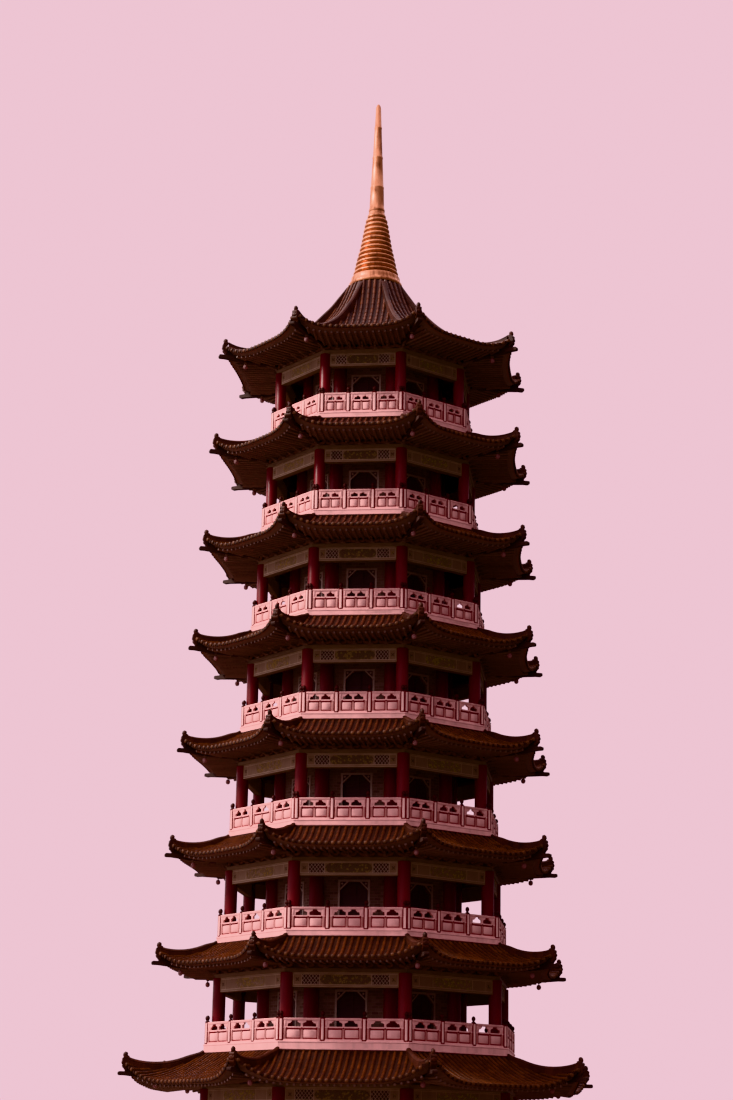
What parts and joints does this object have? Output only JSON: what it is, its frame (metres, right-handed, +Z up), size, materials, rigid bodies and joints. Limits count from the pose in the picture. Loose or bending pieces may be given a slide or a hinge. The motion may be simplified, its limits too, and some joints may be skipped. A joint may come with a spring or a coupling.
{
  "type": "octagonal pagoda, 1:2 scale model",
  "caption": "Tall octagonal pagoda at half size: open galleries with balustrades and red columns, tiled skirt roofs with upturned corners, and a ringed spire.",
  "frame": {"origin": "on the ground under the middle of the tower, the centre of the plinth's underside", "axes": "+Z up along the spire; -Y faces the front steps, the side nearest the camera of the picture; +X to the right seen from the front"},
  "size_m": [10.293, 10.293, 26.675],
  "materials": {
    "plinth_stone": "dressed grey stone blocks with mortar joints",
    "step_stone": "worn grey stone treads",
    "floor_edge": "pale pinkish dressed stone, weathered",
    "balustrade": "pale painted stone with dark red outlines",
    "core_masonry": "grey-brown coursed masonry with red corner columns",
    "red_lacquer": "dark red lacquered columns, painted beams",
    "roof_tile": "glazed orange-brown barrel tiles with dark maroon ridges",
    "spire_metal": "dulled gilt bronze rings"
  },
  "bodies": {
    "root": {"plinth": "plinth_stone", "front_steps": "step_stone", "right_steps": "step_stone", "back_steps": "step_stone", "left_steps": "step_stone", "gallery_floor_2": "floor_edge", "balustrade_2": "balustrade", "gallery_floor_3": "floor_edge", "balustrade_3": "balustrade", "gallery_floor_4": "floor_edge", "balustrade_4": "balustrade", "gallery_floor_5": "floor_edge", "balustrade_5": "balustrade", "gallery_floor_6": "floor_edge", "balustrade_6": "balustrade", "gallery_floor_7": "floor_edge", "balustrade_7": "balustrade", "gallery_floor_8": "floor_edge", "balustrade_8": "balustrade", "core_wall_1": "core_masonry", "colonnade_1": "red_lacquer", "core_wall_2": "core_masonry", "colonnade_2": "red_lacquer", "core_wall_3": "core_masonry", "colonnade_3": "red_lacquer", "core_wall_4": "core_masonry", "colonnade_4": "red_lacquer", "core_wall_5": "core_masonry", "colonnade_5": "red_lacquer", "core_wall_6": "core_masonry", "colonnade_6": "red_lacquer", "core_wall_7": "core_masonry", "colonnade_7": "red_lacquer", "core_wall_8": "core_masonry", "colonnade_8": "red_lacquer", "roof_1": "roof_tile", "roof_2": "roof_tile", "roof_3": "roof_tile", "roof_4": "roof_tile", "roof_5": "roof_tile", "roof_6": "roof_tile", "roof_7": "roof_tile", "top_roof": "roof_tile", "spire_cone": "spire_metal", "spire_rod": "spire_metal"}
  },
  "joints": []
}
